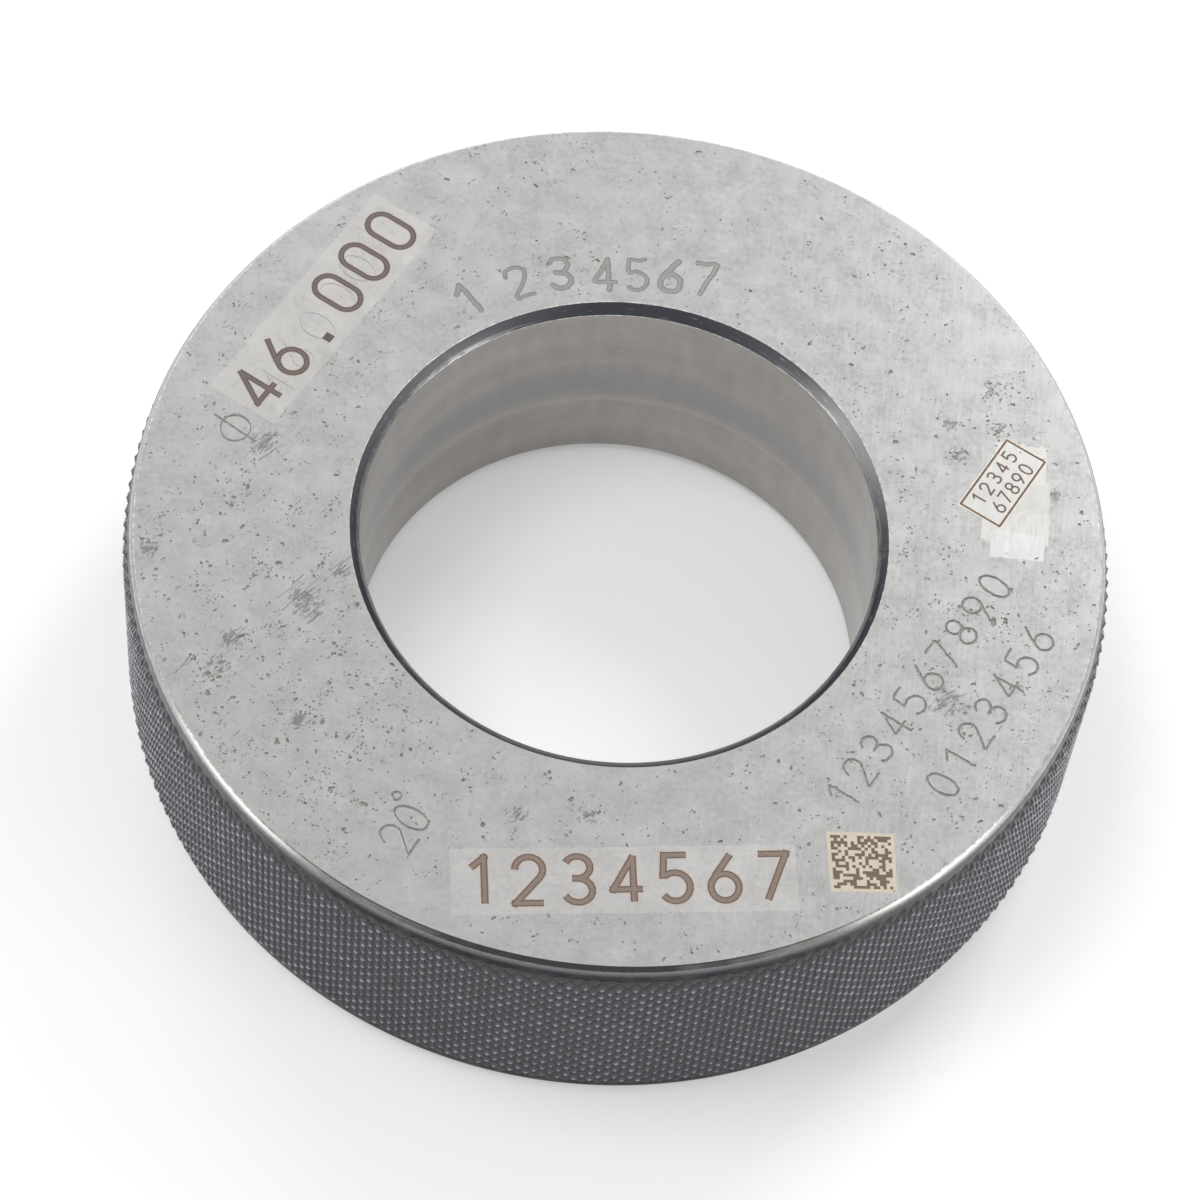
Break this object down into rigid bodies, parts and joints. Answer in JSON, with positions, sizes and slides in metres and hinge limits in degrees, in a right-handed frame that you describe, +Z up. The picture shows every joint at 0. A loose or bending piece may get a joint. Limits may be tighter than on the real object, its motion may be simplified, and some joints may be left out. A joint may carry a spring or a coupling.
{
  "type": "setting ring gauge",
  "caption": "Thick steel ring with a finely lapped through bore, flat ground faces, bevelled edges and a blackened diamond-knurled rim, used to set bore-measuring tools.",
  "frame": {"origin": "centre of the bottom face, on the axis of the bore", "axes": "+Z up along the bore to the marked face, -Y towards the viewer in the picture, +X to the right"},
  "size_m": [0.0878, 0.0878, 0.024],
  "materials": {
    "ring_steel": "ground and lapped steel, blackened at the rim and the chamfers"
  },
  "bodies": {
    "root": {"ring_gauge": "ring_steel"}
  },
  "joints": []
}
